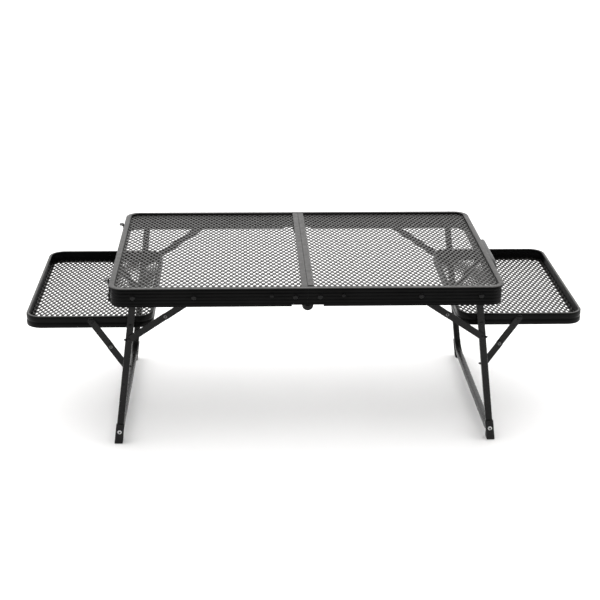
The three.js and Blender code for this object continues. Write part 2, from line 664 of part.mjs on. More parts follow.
// Names follow where a piece ends up: turning a side half round swaps front and back.
function tableSide(name, turned) {
  const side = new THREE.Group();
  side.name = `${name}_side`;
  side.rotation.z = turned ? Math.PI : 0;
  group.add(side);
  const place = (end) => placeName[turned ? -end : end];

  piece(side, `${name}_frame_rail`, frameRail(), 'black_aluminium');
  piece(side, `${name}_top_mesh`, topMesh(), 'mesh_steel');
  piece(side, `${name}_centre_bar`, centreBar(), 'black_steel');

  const legGroup = new THREE.Group();
  legGroup.name = `${name}_leg_group`;
  legGroup.position.set(LEG_PIVOT_X, 0, LEG_PIVOT_Z);
  legGroup.rotation.y = -SPLAY;
  side.add(legGroup);
  piece(legGroup, `${name}_leg`, leg(), 'black_steel');

  piece(side, `${name}_tray_rim`, trayRim(), 'black_steel');
  piece(side, `${name}_tray_mesh`, trayMesh(), 'mesh_steel');

  for (const end of [-1, 1]) {
    const at = place(end);
    piece(side, `${name}_hinge_leaf_${at}`, hingeLeaf(end, end < 0 ? 0 : 1), 'black_steel');
    piece(side, `${name}_leg_bolt_${at}`, legBolt(end), 'black_steel');
    piece(side, `${name}_brace_bracket_${at}`, braceBracket(end), 'black_steel');
    piece(side, `${name}_brace_upper_${at}`, frameBraceUpper(end), 'black_steel');
    piece(side, `${name}_brace_lower_${at}`, frameBraceLower(end), 'black_steel');
    piece(side, `${name}_tray_pin_${at}`, trayPin(end), 'black_steel');
    piece(side, `${name}_tray_brace_upper_${at}`, trayBraceUpper(end), 'black_steel');
    piece(side, `${name}_tray_brace_lower_${at}`, trayBraceLower(end), 'black_steel');
    piece(legGroup, `${name}_foot_pad_${at}`, footPad(end), 'black_plastic');
    if (turned) {
      piece(side, `latch_plate_${at}`, latchPlate(end), 'black_steel');
      piece(side, `latch_lever_${at}`, latchLever(end), 'black_steel');
    } else {
      piece(side, `latch_catch_${at}`, latchCatch(end), 'black_steel');
      piece(side, `handle_lug_${at}`, handleLug(end), 'black_plastic');
    }
  }
  return side;
}

const rightSide = tableSide('right', false);
tableSide('left', true);

for (const end of [-1, 1]) {
  piece(group, `hinge_pin_${placeName[end]}`, hingePin(end), 'bright_steel');
}

const grip = piece(rightSide, 'handle', handle(), 'black_plastic');
grip.position.set(HANDLE_PIVOT[0], 0, HANDLE_PIVOT[1]);
grip.rotation.y = Math.atan2(HANDLE_GRIP[0] - HANDLE_PIVOT[0], HANDLE_GRIP[1] - HANDLE_PIVOT[1]);

export default group;
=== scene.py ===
"""Looks of the folding side table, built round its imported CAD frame.

Shapes are worked out in millimetres, in the frame of the right-hand side; the left-hand side is
the same turned half round the vertical. Pieces are made in metres.
"""
import json
import math

import bmesh
import bpy
from mathutils import Matrix, Vector


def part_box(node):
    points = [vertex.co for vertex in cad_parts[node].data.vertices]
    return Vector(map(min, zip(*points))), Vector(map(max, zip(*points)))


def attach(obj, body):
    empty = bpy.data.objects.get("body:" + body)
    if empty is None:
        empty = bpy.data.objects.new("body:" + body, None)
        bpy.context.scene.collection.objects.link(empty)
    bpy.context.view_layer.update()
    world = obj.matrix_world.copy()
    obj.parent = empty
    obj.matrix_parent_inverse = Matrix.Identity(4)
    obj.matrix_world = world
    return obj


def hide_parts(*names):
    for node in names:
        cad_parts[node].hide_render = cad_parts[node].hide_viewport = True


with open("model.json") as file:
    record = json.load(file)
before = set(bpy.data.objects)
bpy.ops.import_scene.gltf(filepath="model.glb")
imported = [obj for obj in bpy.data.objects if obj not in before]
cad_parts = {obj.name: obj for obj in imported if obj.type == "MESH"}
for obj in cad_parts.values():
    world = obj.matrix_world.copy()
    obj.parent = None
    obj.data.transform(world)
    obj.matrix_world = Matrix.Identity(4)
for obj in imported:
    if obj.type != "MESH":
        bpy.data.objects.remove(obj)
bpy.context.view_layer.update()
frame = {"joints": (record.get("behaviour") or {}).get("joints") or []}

# ---------- sizes from the frame ----------
MM = 0.001


def corners_mm(node):
    low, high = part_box(node)
    return low / MM, high / MM


PIVOTS = {
    joint["name"]: (joint["pos_m"][0] / MM, joint["pos_m"][2] / MM)
    for joint in frame["joints"]
}
rail_low, rail_high = corners_mm("right_frame_rail")
HALF_LENGTH, HALF_DEPTH, TOP = rail_high.x, rail_high.y, rail_high.z
RAIL_BOTTOM = rail_low.z
mesh_low, mesh_high = corners_mm("right_top_mesh")
bar_low, bar_high = corners_mm("right_centre_bar")
tray_low, tray_high = corners_mm("right_tray_rim")
TRAY_X = (tray_low.x, tray_high.x)
TRAY_HALF_DEPTH = tray_high.y
TRAY_BOTTOM, TRAY_TOP = tray_low.z, tray_high.z
tray_mesh_low, _ = corners_mm("right_tray_mesh")

LEG_PIVOT = PIVOTS["right_leg_fold"]
TRAY_PIVOT = PIVOTS["right_tray_fold"]
FRAME_BRACE_TOP = PIVOTS["right_brace_upper_fold"]
FRAME_BRACE_FOOT = PIVOTS["right_brace_lower_fold"]
TRAY_BRACE_TOP = PIVOTS["right_tray_brace_upper_fold"]
TRAY_BRACE_FOOT = PIVOTS["right_tray_brace_lower_fold"]
HINGE = PIVOTS["half_fold"]
HANDLE_PIVOT = PIVOTS["handle_swing"]
LATCH_PIVOT = (-PIVOTS["latch_front_swing"][0], PIVOTS["latch_front_swing"][1])

FRAME_BRACE_KNEE = (323.19, 321.48)
TRAY_BRACE_KNEE = (451.81, 239.73)
SPLAY = math.atan2(TRAY_BRACE_FOOT[0] - LEG_PIVOT[0], LEG_PIVOT[1] - TRAY_BRACE_FOOT[1])
LEG_SPREAD = 253.5
TUBE = 16
LEG_OUTER, LEG_INNER = LEG_SPREAD + TUBE / 2, LEG_SPREAD - TUBE / 2
GROUND_RUN_Z = 20
RIVET_Z = 378

ENDS = (-1, 1)
END_NAME = {-1: "front", 1: "back"}
SIDES = {"right": 1, "left": -1}


# ---------- shapes: a shape is (points, faces) ----------
def joined(*shapes):
    points, faces = [], []
    for shape_points, shape_faces in shapes:
        start = len(points)
        points.extend(shape_points)
        faces.extend(tuple(start + i for i in face) for face in shape_faces)
    return points, faces


def loft(rings, looped=False):
    """Skins closed rings of equally many points; an open run of rings gets end caps."""
    count = len(rings[0])
    points = [p for ring in rings for p in ring]
    faces = []
    for i in range(len(rings) if looped else len(rings) - 1):
        near, far = i * count, (i + 1) % len(rings) * count
        for j in range(count):
            k = (j + 1) % count
            faces.append((near + j, near + k, far + k, far + j))
    if not looped:
        faces.append(tuple(range(count))[::-1])
        faces.append(tuple(range(len(points) - count, len(points))))
    return points, faces


def plate(outline, y0, y1):
    """An outline in X and Z with thickness along Y."""
    return loft([[(x, y, z) for x, z in outline] for y in (y0, y1)])


def turned_part(profile, centre, segments=28):
    """A profile of (radius, y) spun about an axis along Y."""
    rings = []
    for radius, y in profile:
        rings.append([
            (
                centre[0] + radius * math.cos(math.tau * i / segments),
                y,
                centre[1] + radius * math.sin(math.tau * i / segments),
            )
            for i in range(segments)
        ])
    return loft(rings)


def arc(centre, radius, start, stop, steps):
    return [
        (
            centre[0] + radius * math.cos(math.radians(start + (stop - start) * i / steps)),
            centre[1] + radius * math.sin(math.radians(start + (stop - start) * i / steps)),
        )
        for i in range(steps + 1)
    ]


def rounded_square(size, radius, steps=5):
    half = size / 2 - radius
    points = []
    for quarter, (a, b) in enumerate(((half, half), (-half, half), (-half, -half), (half, -half))):
        points += arc((a, b), radius, 90 * quarter, 90 * quarter + 90, steps)
    return points


def frame_path(x0, x1, half_depth, radius, steps=14, open_at=None):
    """Stations of (outer point, inward normal) round a rounded rectangle, anticlockwise from above.

    With open_at the rectangle's left side is left out, and the path ends at that X."""
    stations = []
    corner = [
        (x1 - radius, -half_depth + radius, -90), (x1 - radius, half_depth - radius, 0),
        (x0 + radius, half_depth - radius, 90), (x0 + radius, -half_depth + radius, 180),
    ]
    if open_at is not None:
        corner = corner[:2]
        stations.append(((open_at, -half_depth), (0, 1)))
    for cx, cy, start in corner:
        for px, py in arc((cx, cy), radius, start, start + 90, steps):
            stations.append(((px, py), ((cx - px) / radius, (cy - py) / radius)))
    if open_at is not None:
        stations.append(((open_at, half_depth), (0, -1)))
    return stations


def swept(stations, profile, looped):
    """A profile of (inset, z) carried along stations."""
    rings = [
        [(px + nx * inset, py + ny * inset, z) for inset, z in profile]
        for (px, py), (nx, ny) in stations
    ]
    return loft(rings, looped=looped)


def u_path(half_spread, end, run, radius, steps=12):
    """Stations of (y, z) and the direction towards the inside of the U, end to end."""
    rise = 1 if end > run else -1
    stations = [((half_spread, end), (-1, 0))]
    for i in range(steps + 1):
        angle = math.pi / 2 * i / steps
        c, s = math.cos(angle), math.sin(angle)
        point = (half_spread - radius * (1 - c), run + rise * radius * (1 - s))
        stations.append((point, (-c, rise * s)))
    mirrored = [((-y, z), (-ny, nz)) for (y, z), (ny, nz) in reversed(stations)]
    return stations + mirrored


def bent_bar(stations, section, inner):
    """A tube between two sections of (across, inward), carried along a U."""
    def rings(outline):
        return [
            [(a, y + ny * b, z + nz * b) for a, b in outline]
            for (y, z), (ny, nz) in stations
        ]

    return loft(rings(section) + rings(inner)[::-1], looped=True)


def moved(shape, rule):
    return [rule(p) for p in shape[0]], shape[1]


def leaned(shape):
    """From the leg's own upright frame, about the leg pivot, out to the splay."""
    c, s = math.cos(SPLAY), math.sin(SPLAY)
    return moved(shape, lambda p: (
        LEG_PIVOT[0] + p[0] * c - p[2] * s, p[1], LEG_PIVOT[1] + p[0] * s + p[2] * c,
    ))


def stadium(a, b, width, steps=10):
    """Outline of a flat bar with round ends between two points in X and Z."""
    heading = math.degrees(math.atan2(b[1] - a[1], b[0] - a[0]))
    radius = width / 2
    return (arc(b, radius, heading - 90, heading + 90, steps)
            + arc(a, radius, heading + 90, heading + 270, steps))


HEAD_SUNK = 1


def dome(centre, radius, height, y, direction):
    """A round rivet head standing on the plane y, facing direction."""
    profile = [
        (radius, -HEAD_SUNK), (radius, 0.12), (0.97 * radius, 0.4), (0.85 * radius, 0.72),
        (0.62 * radius, 0.92), (0.34 * radius, 0.99), (0.001, 1),
    ]
    return turned_part(
        [(r, y + direction * (h * height if h > 0 else h)) for r, h in profile], centre,
    )


def eyelet(centre, radius, height, y, direction):
    """A rolled tubular rivet head with its hole."""
    profile = [
        (radius, -0.5), (radius, 0.2), (0.9 * radius, 0.75), (0.72 * radius, 1),
        (0.55 * radius, 0.9), (0.42 * radius, 0.5), (0.4 * radius, -0.2), (0.001, -0.2),
    ]
    return turned_part([(r, y + direction * h * height) for r, h in profile], centre)


# ---------- materials ----------
def node_material(name, metallic, ior=1.5):
    material = bpy.data.materials.new(name)
    material.use_nodes = True
    tree = material.node_tree
    shader = tree.nodes["Principled BSDF"]
    shader.inputs["Metallic"].default_value = metallic
    shader.inputs["IOR"].default_value = ior
    place = tree.nodes.new("ShaderNodeTexCoord")
    return material, tree, shader, place.outputs["Object"]


def noise(tree, place, scale, detail=3, stretch=None):
    if stretch:
        mapping = tree.nodes.new("ShaderNodeMapping")
        mapping.inputs["Scale"].default_value = stretch
        tree.links.new(place, mapping.inputs["Vector"])
        place = mapping.outputs["Vector"]
    node = tree.nodes.new("ShaderNodeTexNoise")
    node.inputs["Scale"].default_value = scale
    node.inputs["Detail"].default_value = detail
    tree.links.new(place, node.inputs["Vector"])
    return node.outputs["Fac"]


def ramp(tree, value, stops):
    node = tree.nodes.new("ShaderNodeValToRGB")
    elements = node.color_ramp.elements
    while len(elements) < len(stops):
        elements.new(0.5)
    for element, (at, color) in zip(elements, stops):
        element.position = at
        element.color = (*color, 1)
    tree.links.new(value, node.inputs["Fac"])
    return node.outputs["Color"]


def spread(tree, value, low, high):
    node = tree.nodes.new("ShaderNodeMapRange")
    node.inputs["From Min"].default_value = 0.3
    node.inputs["From Max"].default_value = 0.7
    node.inputs["To Min"].default_value = low
    node.inputs["To Max"].default_value = high
    tree.links.new(value, node.inputs["Value"])
    return node.outputs["Result"]


def bumped(tree, shader, layers):
    """layers: (height socket, strength, distance in metres), one on top of the other."""
    normal = None
    for height, strength, distance in layers:
        node = tree.nodes.new("ShaderNodeBump")
        node.inputs["Strength"].default_value = strength
        node.inputs["Distance"].default_value = distance
        tree.links.new(height, node.inputs["Height"])
        if normal:
            tree.links.new(normal, node.inputs["Normal"])
        normal = node.outputs["Normal"]
    tree.links.new(normal, shader.inputs["Normal"])


def coating(name, dark, light, rough, ior, grain=900, streak=None, tint=None):
    """Powder or sprayed coating: fine orange peel, slow change of tone, scuffs of other gloss."""
    material, tree, shader, place = node_material(name, 0, ior)
    if tint:
        shader.inputs["Specular Tint"].default_value = (*tint, 1)
    slow = noise(tree, place, 14, 4)
    peel = noise(tree, place, grain, 2)
    tree.links.new(ramp(tree, slow, [(0.35, dark), (0.68, light)]), shader.inputs["Base Color"])
    scuff = noise(tree, place, 70, 5, streak)
    tree.links.new(spread(tree, scuff, rough - 0.05, rough + 0.07), shader.inputs["Roughness"])
    layers = [(peel, 0.25, 0.0001)]
    if streak:
        layers.append((scuff, 0.2, 0.00012))
    bumped(tree, shader, layers)
    return material


def bright_metal(name, dark, light, rough):
    material, tree, shader, place = node_material(name, 1)
    cloud = noise(tree, place, 300, 4)
    tree.links.new(ramp(tree, cloud, [(0.3, dark), (0.7, light)]), shader.inputs["Base Color"])
    tree.links.new(spread(tree, cloud, rough, rough + 0.15), shader.inputs["Roughness"])
    bumped(tree, shader, [(noise(tree, place, 2500, 2), 0.15, 0.00005)])
    return material


def grey(level):
    return (level, level, level)


WARM = (1, 0.95, 0.9)
RAIL = coating("rail_coating", grey(0.0015), grey(0.0035), 0.4, ior=1.16, streak=(0.6, 0.6, 22))
STEEL = coating("steel_coating", grey(0.003), (0.007, 0.0068, 0.0065), 0.27, ior=1.27)
TRAY_STEEL = coating("tray_coating", grey(0.0015), grey(0.003), 0.36, ior=1.17)
MESH = coating("mesh_coating", (0.006, 0.0058, 0.0055), (0.013, 0.0125, 0.012), 0.36, ior=1.31,
               tint=WARM)
# coat of the centre bars, also put on the level tops of the rail and tray lips as painted light
# from above
BAR_AND_LIT_TOP = coating("bar_and_lit_top_coating", (0.010, 0.0095, 0.009), (0.019, 0.018, 0.017), 0.4, ior=1.31,
              tint=WARM)
PLASTIC = coating("black_plastic", grey(0.005), grey(0.010), 0.55, ior=1.35, grain=1600)
RIVET_HEAD = bright_metal("blackened_rivet", grey(0.010), grey(0.022), 0.16)
HANDLE = coating("handle_plastic", (0.012, 0.0118, 0.0115), (0.02, 0.0195, 0.019), 0.42,
                 ior=1.42, grain=1600)
RIVET = bright_metal("dull_rivet", grey(0.10), grey(0.2), 0.35)
SCREW = bright_metal("screw_zinc", grey(0.55), grey(0.75), 0.22)


# ---------- making pieces ----------
def clean(mesh, smooth):
    made = bmesh.new()
    made.from_mesh(mesh)
    bmesh.ops.remove_doubles(made, verts=made.verts, dist=2e-6)
    bmesh.ops.dissolve_degenerate(made, edges=made.edges, dist=1e-6)
    bmesh.ops.recalc_face_normals(made, faces=made.faces)
    made.to_mesh(mesh)
    made.free()
    mesh.polygons.foreach_set("use_smooth", [True] * len(mesh.polygons))
    mesh.set_sharp_from_angle(angle=math.radians(smooth))


def mesh_object(name, shape, turned=1, smooth=35):
    points, faces = shape
    mesh = bpy.data.meshes.new(name)
    mesh.from_pydata(
        [(turned * x * MM, turned * y * MM, z * MM) for x, y, z in points], [], faces,
    )
    clean(mesh, smooth)
    made = bpy.data.objects.new(name, mesh)
    bpy.context.scene.collection.objects.link(made)
    return made


def piece(name, shape, material, body, replaced=(), turned=1, bevel=0, smooth=35):
    made = mesh_object(name, shape, turned, smooth)
    made.data.materials.append(material)
    if bevel:
        modifier = made.modifiers.new("edge", "BEVEL")
        modifier.width = bevel * MM
        modifier.segments = 2
        modifier.limit_method = "ANGLE"
        modifier.angle_limit = math.radians(40)
        modifier.harden_normals = True
    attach(made, body)
    if replaced:
        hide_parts(*replaced)
    return made


def cut_away(target, cutters):
    """Boolean difference, applied to the target's mesh; the cutters are removed."""
    for cutter in cutters:
        modifier = target.modifiers.new("cut", "BOOLEAN")
        modifier.operation = "DIFFERENCE"
        modifier.solver = "EXACT"
        modifier.object = cutter
    graph = bpy.context.evaluated_depsgraph_get()
    target.data = bpy.data.meshes.new_from_object(target.evaluated_get(graph))
    target.modifiers.clear()
    for cutter in cutters:
        bpy.data.objects.remove(cutter)
    target.data.polygons.foreach_set("use_smooth", [True] * len(target.data.polygons))
    target.data.set_sharp_from_angle(angle=math.radians(35))


def block(x, y, z):
    outline = [(x[0], z[0]), (x[1], z[0]), (x[1], z[1]), (x[0], z[1])]
    return plate(outline, *y)


# ---------- frame rails ----------
RIDGES = 5
GROOVE_WIDTH, GROOVE_DEPTH = 2.3, 1.25
RAIL_WALL = 3
RAIL_RADIUS = 35
LIP, LIP_THICKNESS = 14, 3
LIP_ROUND_WIDTH, LIP_ROUND_HEIGHT = 5.6, 2.3
FOOT, FOOT_THICKNESS = 9.5, 2.5
OVERHANG = 5
FRAME_FACE = HALF_DEPTH - OVERHANG
HALVES_APART = 0.03
NOTCH_REACH, NOTCH_HEIGHT = 36, 4


def rail_profile():
    """Outline of the rail as (inset, z): ribbed outer wall, lip on top, narrow foot below."""
    low, high = RAIL_BOTTOM + FOOT_THICKNESS, TOP - LIP_THICKNESS
    pitch = (high - low) / RIDGES
    outer = [(1.0, RAIL_BOTTOM), (0.25, RAIL_BOTTOM + 0.4), (0, RAIL_BOTTOM + 1.2)]
    for i in range(RIDGES):
        base = low + i * pitch
        crown = pitch - GROOVE_WIDTH
        for t in (0, 0.12, 0.3, 0.5, 0.7, 0.88, 1):
            outer.append((0.5 * (2 * t - 1) ** 4, base + crown * t))
        outer += [(GROOVE_DEPTH, base + crown + 0.7), (GROOVE_DEPTH, base + crown + 1.5)]
    outer = [(OVERHANG + max(n, 0), z) for n, z in outer]
    outer += [(OVERHANG, high), (1, high), (0.35, high + 0.2)]
    for x, z in arc((0, 0), 1, 180, 90, 8):
        outer.append((LIP_ROUND_WIDTH * (1 + x), TOP - LIP_ROUND_HEIGHT * (1 - z)))
    wall = OVERHANG + RAIL_WALL
    inner = [
        (LIP - 1.2, TOP), (LIP - 0.4, TOP - 0.4), (LIP, TOP - 1.2), (LIP - 0.2, TOP - 2.6),
        (LIP - 0.9, high), (wall + 0.6, high), (wall, high - 0.6),
        (wall, low + 0.6), (wall + 0.4, low),
        (FOOT - 0.4, low), (FOOT, low - 0.4), (FOOT, RAIL_BOTTOM + 0.6), (FOOT - 0.6, RAIL_BOTTOM),
    ]
    return outer + inner


def paint_lit_top(made, above, material):
    """Gives the level faces above a height a lighter copy of the coat: painted light falling from
    above on the lip's top.
    """
    made.data.materials.append(material)
    for face in made.data.polygons:
        if face.center.z > above * MM and face.normal.z > 0.9:
            face.material_index = 1


def make_rail(side, turned):
    stations = frame_path(0, HALF_LENGTH, HALF_DEPTH, RAIL_RADIUS, open_at=HALVES_APART)
    made = piece(
        f"rail_{side}", swept(stations, rail_profile(), looped=False), RAIL,
        f"{side}_half", [f"{side}_frame_rail"], turned,
    )
    past_rail = HALF_DEPTH + 10
    notch = block(
        (-5, NOTCH_REACH), (-past_rail, past_rail), (RAIL_BOTTOM - 1, RAIL_BOTTOM + NOTCH_HEIGHT),
    )
    cut_away(made, [mesh_object("notch", notch, turned)])
    # the rail lip's level top gets the lighter coat: painted light from above
    paint_lit_top(made, TOP - LIP_THICKNESS, BAR_AND_LIT_TOP)


# ---------- expanded metal ----------
# pitch of the openings along X and Y, and how far the strands are tipped, for each panel
PITCHES = {"top_left": (13.3, 23.3), "top_right": (12.5, 23.3), "tray": (12.5, 23.5)}
TILTS = {"top_left": 0.6, "top_right": 0.6, "tray_left": 1.3, "tray_right": 1.1}
USUAL_PITCH = 12.5
HALF_OPEN_X, HALF_OPEN_Y = 3.45, 5.3
BOND, TIP = 1.0, 1.1
SHEET = 0.8
TOP_MESH_RADIUS = 29
TOP_MESH_DROP = 1.1
TRAY_MESH_RISE = 0.85


def steps_over(span, pitch):
    return range(math.floor(span[0] / pitch) - 1, math.ceil(span[1] / pitch) + 2)


def expanded_sheet(x_range, y_range, z, pitch, tilt):
    """A lattice of diamond openings, its strands tipped as the slit sheet is stretched."""
    pitch_x, pitch_y = pitch
    half_x, half_y = HALF_OPEN_X * pitch_x / USUAL_PITCH, HALF_OPEN_Y
    middle = ((half_x + TIP) / 2 + 0.2, (half_y + BOND) / 2 + 0.4)
    # one quarter of an opening's outline as (x, y, tip of the strand), then its mirror images
    quarter = [(half_x, BOND, -1), (*middle, -0.4), (TIP, half_y, 0.25)]
    corner = [(half_x, -BOND, -1)] + quarter
    corner += [(-x, y, -h) for x, y, h in reversed(quarter)]
    corner += [(-x, -y, -h) for x, y, h in quarter]
    corner += [(x, -y, h) for x, y, h in reversed(quarter[1:])]
    points, faces, first = [], [], {}
    rows = steps_over(y_range, pitch_y / 2)
    columns = steps_over(x_range, pitch_x)
    for row in rows:
        for column in columns:
            centre = (column + row % 2 / 2) * pitch_x, row * pitch_y / 2
            first[row, column] = len(points)
            points += [(centre[0] + x, centre[1] + y, z + tilt * h) for x, y, h in corner]
    for row, column in first:
        right = column + row % 2
        near = {
            "here": (row, column), "side": (row, column + 1),
            "up": (row + 1, right), "down": (row - 1, right), "up_left": (row + 1, right - 1),
        }
        for face in LATTICE_FACES:
            if all(near[who] in first for who, _ in face):
                faces.append(tuple(first[near[who]] + i for who, i in face))
    return points, faces


def lattice_face(text):
    """Corners of one face, each as the opening it belongs to and the number of its corner."""
    names = {"o": "here", "s": "side", "u": "up", "d": "down", "l": "up_left"}
    return [(names[word[0]], int(word[1:])) for word in text.split()]


LATTICE_FACES = [lattice_face(text) for text in (
    "o1 u9 u8 o2", "o2 u8 u7 o3", "o5 o4 l0 l11", "o6 o5 l11 l10",
    "o0 d4 u9 o1", "d4 d3 u10 u9", "d3 s7 s6 u10",
)]


def clip_planes(x_range, half_depth, radius, round_left):
    """Points and outward directions that cut a sheet to a rounded rectangle."""
    planes = [
        ((x_range[0], 0), (-1, 0)), ((x_range[1], 0), (1, 0)),
        ((0, -half_depth), (0, -1)), ((0, half_depth), (0, 1)),
    ]
    for sx in (1, -1) if round_left else (1,):
        for sy in (1, -1):
            edge = x_range[1] - radius if sx > 0 else x_range[0] + radius
            for step in range(1, 6):
                angle = math.radians(15 * step)
                way = (sx * math.cos(angle), sy * math.sin(angle))
                planes.append((
                    (edge + radius * way[0], sy * (half_depth - radius) + radius * way[1]), way,
                ))
    return planes


def make_mesh_panel(name, x_range, half_depth, radius, z, round_left, body, node, turned,
                    pitch, tilt):
    sheet = expanded_sheet(x_range, (-half_depth, half_depth), z, pitch, tilt)
    made = piece(name, sheet, MESH, body, [node], turned, smooth=60)
    cutting = bmesh.new()
    cutting.from_mesh(made.data)
    for (px, py), (nx, ny) in clip_planes(x_range, half_depth, radius, round_left):
        bmesh.ops.bisect_plane(
            cutting, geom=cutting.verts[:] + cutting.edges[:] + cutting.faces[:], dist=1e-7,
            plane_co=(turned * px * MM, turned * py * MM, 0),
            plane_no=(turned * nx, turned * ny, 0), clear_outer=True,
        )
    bmesh.ops.delete(cutting, geom=[v for v in cutting.verts if not v.link_faces], context="VERTS")
    cutting.to_mesh(made.data)
    cutting.free()
    thick = made.modifiers.new("sheet", "SOLIDIFY")
    thick.thickness = SHEET * MM
    thick.offset = 0


# ---------- centre bars ----------
BAR_WEB = 3.3
BAR_FRONT_GAP = 6.5


def make_centre_bar(side, turned):
    """An angle bar; the right-hand one stops short of the front lip."""
    flange, web, low = bar_high.x, BAR_WEB, TOP - LIP_THICKNESS
    outline = [
        (bar_low.x, bar_low.z), (web, bar_low.z), (web, low), (flange, low),
        (flange, TOP), (bar_low.x, TOP),
    ]
    front, back = bar_low.y, bar_high.y
    bar = plate(outline, front + (BAR_FRONT_GAP if turned > 0 else 0), back)
    piece(f"centre_bar_{side}", bar, BAR_AND_LIT_TOP, f"{side}_half",
          [f"{side}_centre_bar"], turned, bevel=0.45)


# ---------- hinges ----------
CLEAR = 0.3
LEAF_THICKNESS = 2
LEAF_INNER = FRAME_FACE - RAIL_WALL - CLEAR
LUG_RADIUS = 12.8
LUG_RISE = 3.3
PIN_HEAD = 2


def make_hinge(side, turned, end):
    at = END_NAME[turned * end]
    layer = 0 if end < 0 else 1
    near = LEAF_INNER - layer * (LEAF_THICKNESS + CLEAR)
    outline = [(2.5, 390), (2.5, 362), (-11, 360)]
    outline += arc((0, HINGE[1] + LUG_RISE), LUG_RADIUS, 176, 364, 24)
    outline += [(14.5, 361.6), (17, 362), (40, 362), (40, 390)]
    leaf = plate(outline, end * near, end * (near - LEAF_THICKNESS))
    piece(f"hinge_leaf_{side}_{at}", leaf, STEEL, f"{side}_half",
          [f"{side}_hinge_leaf_{at}"], turned, bevel=0.35)


def make_hinge_pin(end):
    at = END_NAME[end]
    low, high = corners_mm(f"hinge_pin_{at}")
    inner, outer = sorted((abs(low.y), abs(high.y)))
    under, over = outer - PIN_HEAD, inner + PIN_HEAD
    profile = [
        (0.001, outer), (2.2, outer - 0.1), (4.2, outer - 0.6), (6.4, under),
        (3.2, under), (3.2, over), (5, over), (4.2, inner + 0.7), (0.001, inner),
    ]
    pin = turned_part([(r, end * y) for r, y in profile], HINGE)
    piece(f"hinge_rivet_{at}", pin, RIVET_HEAD, "right_half", [f"hinge_pin_{at}"])


# ---------- rail rivets, leg bolts and brace brackets ----------
HEAD_HEIGHT = 2.6
HEAD_RADIUS = 6.4
SMALL_HEAD_RADIUS = 4.6
RAIL_HEADS = (
    ((28, RIVET_Z), HEAD_RADIUS),
    ((81, RIVET_Z + 3), SMALL_HEAD_RADIUS),
    ((FRAME_BRACE_TOP[0], RIVET_Z), HEAD_RADIUS),
    (LEG_PIVOT, HEAD_RADIUS),
)
STRAP_WIDTH, STRAP_THICKNESS = 14, 3


def make_rail_fittings(side, turned, end):
    at = END_NAME[turned * end]
    body = f"{side}_half"
    face = end * FRAME_FACE
    heads = [dome(centre, radius, HEAD_HEIGHT, face, end) for centre, radius in RAIL_HEADS]
    piece(f"rail_rivets_{side}_{at}", joined(*heads), RIVET_HEAD, body, (), turned)

    inner = LEAF_INNER
    collar = [
        (0.001, inner), (6.4, inner), (7, inner - 0.8), (7, LEG_OUTER + 1),
        (6.4, LEG_OUTER + CLEAR), (3.9, LEG_OUTER + CLEAR), (3.9, LEG_INNER - 0.6),
        (3.1, LEG_INNER - 1.5), (0.001, LEG_INNER - 1.5),
    ]
    bolt = turned_part([(r, end * y) for r, y in collar], LEG_PIVOT)
    piece(f"leg_bolt_{side}_{at}", bolt, STEEL, body,
          [f"{side}_leg_bolt_{at}"], turned)

    strap_outline = stadium(FRAME_BRACE_TOP, (FRAME_BRACE_TOP[0], RIVET_Z), STRAP_WIDTH)
    strap = plate(strap_outline, end * inner, end * (inner - STRAP_THICKNESS))
    shoulder, tip = LEG_SPREAD + 12.9, LEG_SPREAD + 10.5
    post = [
        (0.001, inner - 2), (6, inner - 2), (6, shoulder + CLEAR), (5.4, shoulder),
        (2.6, shoulder), (2.6, tip), (0.001, tip),
    ]
    spacer = turned_part([(r, end * y) for r, y in post], FRAME_BRACE_TOP)
    piece(f"brace_bracket_{side}_{at}", joined(strap, spacer), STEEL, body,
          [f"{side}_brace_bracket_{at}"], turned, bevel=0.3)


# ---------- legs ----------
LEG_BEND = 40
LEG_TOP = 8
TUBE_WALL = 1.4
TUBE_ROUNDING = 3.5
RUN_LOCAL = -(LEG_PIVOT[1] - GROUND_RUN_Z) / math.cos(SPLAY)


def make_leg(side, turned):
    stations = u_path(LEG_SPREAD, LEG_TOP, RUN_LOCAL, LEG_BEND)
    tube = bent_bar(
        stations, rounded_square(TUBE, TUBE_ROUNDING),
        rounded_square(TUBE - 2 * TUBE_WALL, TUBE_ROUNDING - TUBE_WALL),
    )
    piece(f"leg_{side}", leaned(tube), STEEL, f"{side}_legs",
          [f"{side}_leg"], turned, smooth=50)


PAD_WIDTH, PAD_HEIGHT, PAD_FACE = 19, 50, 264
PAD_DEPTH = 23.5
PAD_EDGE = 1.6
RIB_HEIGHTS = (5, 9.5, 14, 18.5, 38, 42)
RIB_HALF, RIB_RISE, RIB_WIDTH = 6.8, 2.4, 1.5
SCREW_HEIGHT = 30.5


PAD_SKIN = PAD_FACE - 0.8
PAD_FLOOR = -LEG_PIVOT[1] / math.cos(SPLAY)


def cut_at_floor(made):
    """Cuts a piece off level with the floor and closes the cut."""
    cutting = bmesh.new()
    cutting.from_mesh(made.data)
    cut = bmesh.ops.bisect_plane(
        cutting, geom=cutting.verts[:] + cutting.edges[:] + cutting.faces[:], dist=1e-7,
        plane_co=(0, 0, 0), plane_no=(0, 0, -1), clear_outer=True,
    )
    rim = [part for part in cut["geom_cut"] if isinstance(part, bmesh.types.BMEdge)]
    bmesh.ops.edgeloop_fill(cutting, edges=rim)
    bmesh.ops.recalc_face_normals(cutting, faces=cutting.faces)
    cutting.to_mesh(made.data)
    cutting.free()


